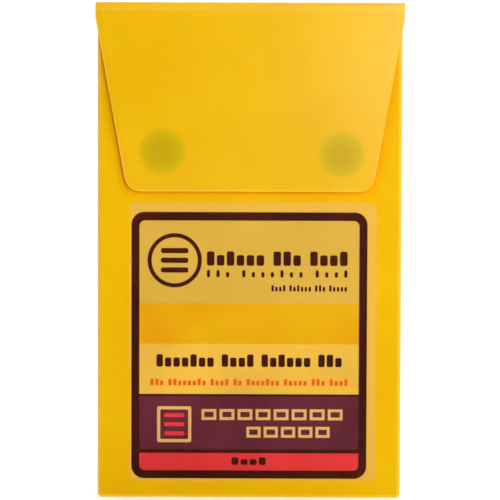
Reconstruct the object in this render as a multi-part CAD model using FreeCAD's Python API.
"""A form-holder pouch with a fold-over flap, its closure coins, a form pad and a ballpoint pen.

Millimetres. X runs to the right seen from the front, -Y points at the viewer, +Z is up.
The origin is the middle of the pouch's base. The pouch stands upright with its flap closed.
"""

import math
import os

import FreeCAD
import Part

# ---- Pouch body ----
HEIGHT = 266.0
BACK_WIDTH = 165.0
TRAY_WIDTH = 163.0
TRAY_DEPTH = 19.0
SHEET = 0.8
FOLD_RADIUS = 2.5
BACK_CORNER_RADIUS = 2.5
MOUTH_DROP = 5.0
MOUTH_CORNER_RADIUS = 6.0
FLANGE_WIDTH = 10.0
FLANGE_TOP_DROP = 12.0
FLANGE_CORNER_RADIUS = 3.0

# ---- Flap and its two creases ----
FLAP_DROP = 100.9
FLAP_STRAIGHT = 8.5
FLAP_END_WIDTH = 131.2
FLAP_CORNER_RADIUS = 8.5
CREASE_GAP = 0.15

# ---- Hook-and-loop closure coins ----
COIN_RADIUS = 11.1
COIN_PILE_RADIUS = 10.8
COIN_BACKING = 0.45
COIN_THICKNESS = 1.25
COIN_GAP = 0.1
LEFT_COIN_X = -46.7
LEFT_COIN_DROP = 79.4
RIGHT_COIN_X = 49.0
RIGHT_COIN_DROP = 80.9

# ---- Printed label on the inside of the front panel ----
LABEL_WIDTH = 132.3
LABEL_HEIGHT = 149.7
LABEL_X = 1.85
LABEL_BASE = 9.4
LABEL_SHEET = 0.2
LABEL_CORNER_RADIUS = 3.0

# ---- Form pad, half a letter sheet in size ----
PAD_WIDTH = 139.7
PAD_HEIGHT = 215.9
PAD_CORNER_RADIUS = 1.5
BOARD = 1.0
FORMS = 5.2
COVER = 0.3
TAPE = 0.15
TAPE_DROP = 25.0
PAD_FLOOR_GAP = 0.4
PAD_TO_LOOP = 0.45
STAPLE_WIRE = 0.5
STAPLE_WIDTH = 12.0
STAPLE_CLINCH = 4.5
STAPLE_SPACING = 70.0
STAPLE_DROP = 10.0

# ---- Ballpoint pen: place, then heights measured up from its nose ----
PEN_X = 52.0
PEN_BASE = 88.0
PEN_RADIUS = 4.0
NOSE_END_RADIUS = 1.9
NOSE_LENGTH = 13.0
NOSE_SPIGOT_TOP = 18.0
SPIGOT_RADIUS = 3.0
POINT_HOLE_RADIUS = 1.18
SPRING_SEAT = 4.0
LOWER_BORE_RADIUS = 1.8
GRIP_TOP = 62.0
GRIP_SPIGOT_TOP = 68.0
GRIP_RINGS = 12
GRIP_RING_PITCH = 2.6
GRIP_RING_WIDTH = 1.0
GRIP_RING_DEPTH = 0.35
GRIP_RING_START = 18.0
BARREL_BORE_RADIUS = 2.7
BARREL_LIP = 124.0
BARREL_TOP = 126.0
BARREL_EDGE = 0.6
POINT_RADIUS = 0.4
POINT_END = 1.5
POINT_HOLDER_BASE = 6.0
POINT_HOLDER_RADIUS = 1.1
REFILL_BASE = 14.0
REFILL_RADIUS = 1.5
REFILL_TOP = 103.0
SPRING_RADIUS = 1.35
SPRING_WIRE_RADIUS = 0.11
SPRING_WIRE_SIDES = 8
SPRING_TURNS = 9
CAM_BASE = 100.0
CAM_TOP = 108.0
CAM_CORE_RADIUS = 2.1
CAM_RADIUS = 2.5
CAM_RIBS = 3
CAM_RIB_WIDTH = 1.2
BUTTON_RADIUS = 2.25
BUTTON_COLLAR_RADIUS = 2.55
BUTTON_COLLAR_BASE = 120.0
BUTTON_TOP = 137.5
BUTTON_DOME = 1.4
RUNNING_GAP = 0.05
CLIP_RING_BASE = 114.0
CLIP_RING_TOP = 121.0
CLIP_RING_WALL = 0.5
CLIP_GAP = 1.25
CLIP_THICKNESS = 1.0
CLIP_WIDTH = 3.4
CLIP_BRIDGE = 2.0
CLIP_BASE = 82.0
CLIP_BALL_RADIUS = 0.85

# ---- Pen loop, a welded strap on the inside of the back panel ----
LOOP_STRAP = 0.5
LOOP_HEIGHT = 18.0
LOOP_TO_CLIP_RING = 0.1
LOOP_CLEARANCE = 0.25
LOOP_PATCH_WIDTH = 24.0
LOOP_CORNER_RADIUS = 2.0

# ---- Planes that follow from the dimensions ----
TOTAL_DEPTH = TRAY_DEPTH + 2 * COIN_THICKNESS + COIN_GAP + SHEET
BACK_OUTER = TOTAL_DEPTH / 2
BACK_INNER = BACK_OUTER - SHEET
FRONT_OUTER = BACK_OUTER - TRAY_DEPTH
FRONT_INNER = FRONT_OUTER + SHEET
FLAP_OUTER = -TOTAL_DEPTH / 2
FLAP_INNER = FLAP_OUTER + SHEET
BACK_HALF = BACK_WIDTH / 2
TRAY_HALF = TRAY_WIDTH / 2
TRAY_TOP = HEIGHT - MOUTH_DROP
FOLD_LINE = TRAY_HALF - FOLD_RADIUS
CREASE_Z = HEIGHT - SHEET / 2
BACK_CREASE_Y = BACK_OUTER - SHEET / 2
FRONT_CREASE_Y = FLAP_OUTER + SHEET / 2
CREASE_REACH = SHEET / 2 + CREASE_GAP
PEN_Y = BACK_INNER - LOOP_STRAP - LOOP_CLEARANCE - PEN_RADIUS
LOOP_INNER_RADIUS = PEN_RADIUS + LOOP_CLEARANCE
LOOP_OUTER_RADIUS = LOOP_INNER_RADIUS + LOOP_STRAP
BOARD_BACK = PEN_Y - LOOP_OUTER_RADIUS - PAD_TO_LOOP - TAPE
BOARD_FRONT = BOARD_BACK - BOARD
FORMS_FRONT = BOARD_FRONT - FORMS
COVER_FRONT = FORMS_FRONT - COVER
PAD_HALF = PAD_WIDTH / 2
PAD_BASE = SHEET + PAD_FLOOR_GAP
PAD_TOP = PAD_BASE + PAD_HEIGHT

OVERRUN = 1.0  # how far a cutting solid runs past the face it cuts
ACROSS = FreeCAD.Vector(1, 0, 0)
BACKWARD = FreeCAD.Vector(0, 1, 0)
UP = FreeCAD.Vector(0, 0, 1)


# ---- Shared shapes ----

def block(low, high):
    """A box between its lowest and highest corner."""
    size = [top - bottom for bottom, top in zip(low, high)]
    return Part.makeBox(size[0], size[1], size[2], FreeCAD.Vector(*low))


def rod(radius, start, length, direction):
    """A round bar that starts at a point and runs along a direction."""
    return Part.makeCylinder(radius, length, FreeCAD.Vector(*start), direction)


def edges_where(shape, direction, test):
    """The straight edges that run along a direction and whose middle passes a test."""
    found = []
    for edge in shape.Edges:
        ends = edge.Vertexes
        if len(ends) < 2:
            continue
        run = ends[1].Point - ends[0].Point
        if run.Length and abs(abs(run.dot(direction)) - run.Length) < 1e-6 and test(edge.CenterOfMass):
            found.append(edge)
    return found


def round_edges(shape, radius, direction, test=lambda middle: True):
    """The shape with the chosen straight edges rounded."""
    return shape.makeFillet(radius, edges_where(shape, direction, test))


def mirrored(shape):
    """The shape's mirror image on the other side of the pouch's middle."""
    return shape.mirror(FreeCAD.Vector(0, 0, 0), ACROSS)


# ---- Back panel, spine and flap: one folded strip of sheet ----

def back_panel():
    top = CREASE_Z - CREASE_REACH
    panel = block((-BACK_HALF, BACK_INNER, 0), (BACK_HALF, BACK_OUTER, top))
    return round_edges(panel, BACK_CORNER_RADIUS, BACKWARD, lambda middle: middle.z < top / 2)


def top_spine():
    front = FRONT_CREASE_Y + CREASE_REACH
    strip = block((-BACK_HALF, front, HEIGHT - SHEET), (BACK_HALF, BACK_CREASE_Y, HEIGHT))
    crease = rod(SHEET / 2, (-BACK_HALF, BACK_CREASE_Y, CREASE_Z), BACK_WIDTH, ACROSS)
    return strip.fuse(crease).removeSplitter()


def flap():
    shoulder = HEIGHT - FLAP_STRAIGHT
    end = HEIGHT - FLAP_DROP
    half_end = FLAP_END_WIDTH / 2
    outline = [
        (-BACK_HALF, CREASE_Z), (BACK_HALF, CREASE_Z), (BACK_HALF, shoulder),
        (half_end, end), (-half_end, end), (-BACK_HALF, shoulder),
    ]
    corners = [FreeCAD.Vector(x, FLAP_OUTER, z) for x, z in outline]
    face = Part.Face(Part.makePolygon(corners + corners[:1]))
    sheet = face.extrude(BACKWARD * SHEET)
    sheet = round_edges(sheet, FLAP_CORNER_RADIUS, BACKWARD, lambda middle: middle.z < end + OVERRUN)
    crease = rod(SHEET / 2, (-BACK_HALF, FRONT_CREASE_Y, CREASE_Z), BACK_WIDTH, ACROSS)
    return sheet.fuse(crease).removeSplitter()


# ---- Tray: front panel, gussets and weld flanges folded from a second sheet ----

def tray_block(inset, back, top):
    """The tray's outline as a solid, with its front folds rounded, drawn in by an inset."""
    half = TRAY_HALF - inset
    front = FRONT_OUTER + inset
    radius = FOLD_RADIUS - inset
    solid = block((-half, front, inset), (half, back, top))
    folds = edges_where(solid, UP, lambda middle: middle.y < 0)
    folds += edges_where(solid, ACROSS, lambda middle: middle.y < 0 and middle.z < top / 2)
    folds += edges_where(solid, BACKWARD, lambda middle: middle.z < top / 2)
    return solid.makeFillet(radius, folds)


def mouth_corner():
    """The waste taken off the right upper corner of the tray's mouth."""
    centre_x = TRAY_HALF - MOUTH_CORNER_RADIUS
    centre_z = TRAY_TOP - MOUTH_CORNER_RADIUS
    front = FRONT_OUTER - OVERRUN
    depth = TRAY_DEPTH + OVERRUN
    waste = block((centre_x, front, centre_z), (TRAY_HALF + OVERRUN, front + depth, TRAY_TOP + OVERRUN))
    return waste.cut(rod(MOUTH_CORNER_RADIUS, (centre_x, front, centre_z), depth, BACKWARD))


def tray_shell():
    outside = tray_block(0, BACK_INNER, TRAY_TOP)
    inside = tray_block(SHEET, BACK_INNER + OVERRUN, TRAY_TOP + OVERRUN)
    shell = outside.cut(inside)
    return shell.cut(mouth_corner()).cut(mirrored(mouth_corner()))


def tray_zone(low_x, high_x, low_z, high_z):
    """The part of the tray's folded sheet that lies between two widths and two heights."""
    zone = block((low_x, FRONT_OUTER - OVERRUN, low_z), (high_x, BACK_OUTER, high_z))
    return tray_shell().common(zone).removeSplitter()


def front_panel():
    return tray_zone(-FOLD_LINE, FOLD_LINE, FOLD_RADIUS, TRAY_TOP + OVERRUN)


def bottom_gusset():
    return tray_zone(-FOLD_LINE, FOLD_LINE, -OVERRUN, FOLD_RADIUS)


def right_gusset():
    return tray_zone(FOLD_LINE, TRAY_HALF + OVERRUN, -OVERRUN, TRAY_TOP + OVERRUN)


def right_flange():
    outer = TRAY_HALF - SHEET
    inner = outer - FLANGE_WIDTH
    strip = block((inner, BACK_INNER - SHEET, FOLD_RADIUS), (outer, BACK_INNER, TRAY_TOP - FLANGE_TOP_DROP))
    return round_edges(strip, FLANGE_CORNER_RADIUS, BACKWARD, lambda middle: middle.x < (inner + outer) / 2)


def bottom_flange():
    half = TRAY_HALF - SHEET - FLANGE_WIDTH - FLANGE_CORNER_RADIUS
    top = SHEET + FLANGE_WIDTH
    strip = block((-half, BACK_INNER - SHEET, SHEET), (half, BACK_INNER, top))
    return round_edges(strip, FLANGE_CORNER_RADIUS, BACKWARD, lambda middle: middle.z > top / 2)


# ---- Closure coins and label ----

def coin(x, z, face_y, direction):
    """One coin: a woven backing disc on a face, with a slightly smaller pile disc on top."""
    backing = rod(COIN_RADIUS, (x, face_y, z), COIN_BACKING, direction)
    pile = rod(COIN_PILE_RADIUS, (x, face_y, z), COIN_THICKNESS, direction)
    return backing.fuse(pile).removeSplitter()


def hook_coin(x, drop):
    return coin(x, HEIGHT - drop, FRONT_OUTER, -BACKWARD)


def loop_coin(x, drop):
    return coin(x, HEIGHT - drop, FLAP_INNER, BACKWARD)


def label_sheet():
    left = LABEL_X - LABEL_WIDTH / 2
    low = (left, FRONT_INNER, LABEL_BASE)
    high = (left + LABEL_WIDTH, FRONT_INNER + LABEL_SHEET, LABEL_BASE + LABEL_HEIGHT)
    return round_edges(block(low, high), LABEL_CORNER_RADIUS, BACKWARD)


# ---- Form pad ----

def staple(x):
    """One flat-clinched staple through the pad, its crown flush with the cover."""
    half = STAPLE_WIDTH / 2
    low_z = PAD_TOP - STAPLE_DROP
    high_z = low_z + STAPLE_WIRE
    crown = block((x - half, COVER_FRONT, low_z), (x + half, COVER_FRONT + STAPLE_WIRE, high_z))
    wire = crown
    for side in (-1, 1):
        outer = x + side * half
        leg = sorted((outer, outer - side * STAPLE_WIRE))
        clinch = sorted((outer, outer - side * STAPLE_CLINCH))
        wire = wire.fuse(block((leg[0], COVER_FRONT, low_z), (leg[1], BOARD_BACK, high_z)))
        wire = wire.fuse(block((clinch[0], BOARD_BACK - STAPLE_WIRE, low_z),
                               (clinch[1], BOARD_BACK, high_z)))
    return wire.removeSplitter()


def pad_staples():
    return Part.makeCompound([staple(-STAPLE_SPACING / 2), staple(STAPLE_SPACING / 2)])


def pad_layer(front, back):
    """One layer of the pad with rounded lower corners, pierced by the staples."""
    layer = block((-PAD_HALF, front, PAD_BASE), (PAD_HALF, back, PAD_TOP))
    layer = round_edges(layer, PAD_CORNER_RADIUS, BACKWARD, lambda middle: middle.z < PAD_HEIGHT / 2)
    return layer.cut(pad_staples())


def pad_tape():
    base = PAD_TOP - TAPE_DROP
    wrap = block((-PAD_HALF, COVER_FRONT - TAPE, base), (PAD_HALF, BOARD_BACK + TAPE, PAD_TOP + TAPE))
    return wrap.cut(block((-PAD_HALF - OVERRUN, COVER_FRONT, base - OVERRUN),
                          (PAD_HALF + OVERRUN, BOARD_BACK, PAD_TOP)))


# ---- Pen ----

def pen_rod(radius, low, high):
    """A round bar on the pen's axis between two heights above its nose."""
    return rod(radius, (PEN_X, PEN_Y, PEN_BASE + low), high - low, UP)


def pen_nose():
    cone = Part.makeCone(NOSE_END_RADIUS, PEN_RADIUS, NOSE_LENGTH,
                         FreeCAD.Vector(PEN_X, PEN_Y, PEN_BASE), UP)
    nose = cone.fuse(pen_rod(SPIGOT_RADIUS, NOSE_LENGTH, NOSE_SPIGOT_TOP))
    nose = nose.cut(pen_rod(POINT_HOLE_RADIUS, -OVERRUN, SPRING_SEAT + OVERRUN))
    return nose.cut(pen_rod(LOWER_BORE_RADIUS, SPRING_SEAT, NOSE_SPIGOT_TOP + OVERRUN))


def pen_grip():
    grip = pen_rod(PEN_RADIUS, NOSE_LENGTH, GRIP_TOP)
    for index in range(GRIP_RINGS):
        low = GRIP_RING_START + index * GRIP_RING_PITCH
        ring = pen_rod(PEN_RADIUS + OVERRUN, low, low + GRIP_RING_WIDTH)
        grip = grip.cut(ring.cut(pen_rod(PEN_RADIUS - GRIP_RING_DEPTH, low, low + GRIP_RING_WIDTH)))
    grip = grip.fuse(pen_rod(SPIGOT_RADIUS, GRIP_TOP, GRIP_SPIGOT_TOP))
    grip = grip.cut(pen_rod(SPIGOT_RADIUS + RUNNING_GAP, NOSE_LENGTH - OVERRUN, NOSE_SPIGOT_TOP))
    return grip.cut(pen_rod(LOWER_BORE_RADIUS, NOSE_LENGTH, GRIP_SPIGOT_TOP + OVERRUN))


def pen_barrel():
    barrel = pen_rod(PEN_RADIUS, GRIP_TOP, BARREL_TOP)
    top = PEN_BASE + BARREL_TOP
    rim = [edge for edge in barrel.Edges if abs(edge.BoundBox.ZMin - top) < 1e-6]
    barrel = barrel.makeFillet(BARREL_EDGE, rim)
    barrel = barrel.cut(pen_rod(SPIGOT_RADIUS + RUNNING_GAP, GRIP_TOP - OVERRUN, GRIP_SPIGOT_TOP))
    barrel = barrel.cut(pen_rod(BARREL_BORE_RADIUS, GRIP_TOP, BARREL_LIP))
    return barrel.cut(pen_rod(BUTTON_RADIUS + RUNNING_GAP, BARREL_LIP - OVERRUN, BARREL_TOP + OVERRUN))


def pen_clip():
    """The clip: a ring on the barrel, a bridge off it and an arm that ends in a ball."""
    inner = PEN_X + PEN_RADIUS + CLIP_GAP
    outer = inner + CLIP_THICKNESS
    low_y = PEN_Y - CLIP_WIDTH / 2
    high_y = PEN_Y + CLIP_WIDTH / 2
    top = PEN_BASE + CLIP_RING_TOP
    bridge = block((PEN_X, low_y, top - CLIP_BRIDGE), (outer, high_y, top))
    arm = block((inner, low_y, PEN_BASE + CLIP_BASE), (outer, high_y, top))
    arm = round_edges(arm, CLIP_THICKNESS / 2, BACKWARD, lambda middle: middle.x > inner + OVERRUN / 2)
    ball_z = PEN_BASE + CLIP_BASE + CLIP_BALL_RADIUS
    ball = Part.makeSphere(CLIP_BALL_RADIUS, FreeCAD.Vector((inner + outer) / 2, PEN_Y, ball_z))
    ring = pen_rod(PEN_RADIUS + CLIP_RING_WALL, CLIP_RING_BASE, CLIP_RING_TOP)
    clip = ring.fuse([bridge, arm, ball])
    return clip.cut(pen_rod(PEN_RADIUS, CLIP_BASE, CLIP_RING_TOP + OVERRUN)).removeSplitter()


def pen_refill():
    """The ink tube with its brass point holder and point."""
    point = Part.makeCone(POINT_RADIUS, POINT_HOLDER_RADIUS, POINT_HOLDER_BASE - POINT_END,
                          FreeCAD.Vector(PEN_X, PEN_Y, PEN_BASE + POINT_END), UP)
    holder = pen_rod(POINT_HOLDER_RADIUS, POINT_HOLDER_BASE, REFILL_BASE)
    tube = pen_rod(REFILL_RADIUS, REFILL_BASE, REFILL_TOP)
    return point.fuse([holder, tube]).removeSplitter()


def pen_spring():
    """The return spring between the nose's seat and the ink tube's shoulder, of eight-sided wire."""
    low = SPRING_SEAT + SPRING_WIRE_RADIUS
    height = REFILL_BASE - SPRING_SEAT - 2 * SPRING_WIRE_RADIUS
    helix = Part.makeHelix(height / SPRING_TURNS, height, SPRING_RADIUS)
    corners = []
    for index in range(SPRING_WIRE_SIDES + 1):
        turn = 2 * math.pi * index / SPRING_WIRE_SIDES
        corners.append(FreeCAD.Vector(SPRING_RADIUS + SPRING_WIRE_RADIUS * math.cos(turn), 0,
                                      SPRING_WIRE_RADIUS * math.sin(turn)))
    coil = Part.Wire(helix).makePipeShell([Part.makePolygon(corners)], True, True)
    coil.translate(FreeCAD.Vector(PEN_X, PEN_Y, PEN_BASE + low))
    return coil


def pen_cam():
    """The ribbed cam that turns the button's push into a latched stroke."""
    cam = pen_rod(CAM_CORE_RADIUS, CAM_BASE, CAM_TOP)
    for index in range(CAM_RIBS):
        rib = block((PEN_X, PEN_Y - CAM_RIB_WIDTH / 2, PEN_BASE + CAM_BASE),
                    (PEN_X + CAM_RADIUS + OVERRUN, PEN_Y + CAM_RIB_WIDTH / 2, PEN_BASE + CAM_TOP))
        rib.rotate(FreeCAD.Vector(PEN_X, PEN_Y, 0), UP, index * 360 / CAM_RIBS)
        cam = cam.fuse(rib)
    cam = cam.common(pen_rod(CAM_RADIUS, CAM_BASE, CAM_TOP))
    return cam.cut(pen_rod(REFILL_RADIUS, CAM_BASE - OVERRUN, REFILL_TOP)).removeSplitter()


def pen_button():
    stem = pen_rod(BUTTON_RADIUS, CAM_TOP, BUTTON_TOP)
    top = PEN_BASE + BUTTON_TOP
    rim = [edge for edge in stem.Edges if abs(edge.BoundBox.ZMin - top) < 1e-6]
    stem = stem.makeFillet(BUTTON_DOME, rim)
    collar = pen_rod(BUTTON_COLLAR_RADIUS, BUTTON_COLLAR_BASE, BARREL_LIP - RUNNING_GAP)
    return stem.fuse(collar).removeSplitter()


def pen_loop():
    """The strap that passes round the pen, with a patch welded to the back panel."""
    top = PEN_BASE + CLIP_RING_BASE - LOOP_TO_CLIP_RING
    base = top - LOOP_HEIGHT
    half_patch = LOOP_PATCH_WIDTH / 2
    patch_front = BACK_INNER - LOOP_STRAP
    patch = block((PEN_X - half_patch, patch_front, base), (PEN_X + half_patch, BACK_INNER, top))
    patch = round_edges(patch, LOOP_CORNER_RADIUS, BACKWARD)
    strap = rod(LOOP_OUTER_RADIUS, (PEN_X, PEN_Y, base), LOOP_HEIGHT, UP)
    strap = strap.fuse(block((PEN_X - LOOP_OUTER_RADIUS, PEN_Y, base),
                             (PEN_X + LOOP_OUTER_RADIUS, BACK_INNER, top)))
    strap = strap.cut(rod(LOOP_INNER_RADIUS, (PEN_X, PEN_Y, base), LOOP_HEIGHT, UP))
    strap = strap.cut(block((PEN_X - LOOP_INNER_RADIUS, PEN_Y, base),
                            (PEN_X + LOOP_INNER_RADIUS, patch_front, top)))
    return strap.fuse(patch).removeSplitter()


# ---- The pieces, in millimetres, one node each ----

def pieces():
    """Every piece of the pouch by its node name."""
    gusset = right_gusset()
    flange = right_flange()
    return {
        "back_panel": back_panel(),
        "top_spine": top_spine(),
        "flap": flap(),
        "front_panel": front_panel(),
        "bottom_gusset": bottom_gusset(),
        "left_gusset": mirrored(gusset),
        "right_gusset": gusset,
        "left_flange": mirrored(flange),
        "right_flange": flange,
        "bottom_flange": bottom_flange(),
        "hook_coin_left": hook_coin(LEFT_COIN_X, LEFT_COIN_DROP),
        "hook_coin_right": hook_coin(RIGHT_COIN_X, RIGHT_COIN_DROP),
        "loop_coin_left": loop_coin(LEFT_COIN_X, LEFT_COIN_DROP),
        "loop_coin_right": loop_coin(RIGHT_COIN_X, RIGHT_COIN_DROP),
        "label_sheet": label_sheet(),
        "pad_board": pad_layer(BOARD_FRONT, BOARD_BACK),
        "pad_forms": pad_layer(FORMS_FRONT, BOARD_FRONT),
        "pad_cover": pad_layer(COVER_FRONT, FORMS_FRONT),
        "pad_tape": pad_tape(),
        "pad_staples": pad_staples(),
        "pen_loop": pen_loop(),
        "pen_nose": pen_nose(),
        "pen_grip": pen_grip(),
        "pen_barrel": pen_barrel(),
        "pen_clip": pen_clip(),
        "pen_refill": pen_refill(),
        "pen_spring": pen_spring(),
        "pen_cam": pen_cam(),
        "pen_button": pen_button(),
    }


os.makedirs("parts", exist_ok=True)
for node, shape in pieces().items():
    shape.exportStep("parts/" + node + ".step")
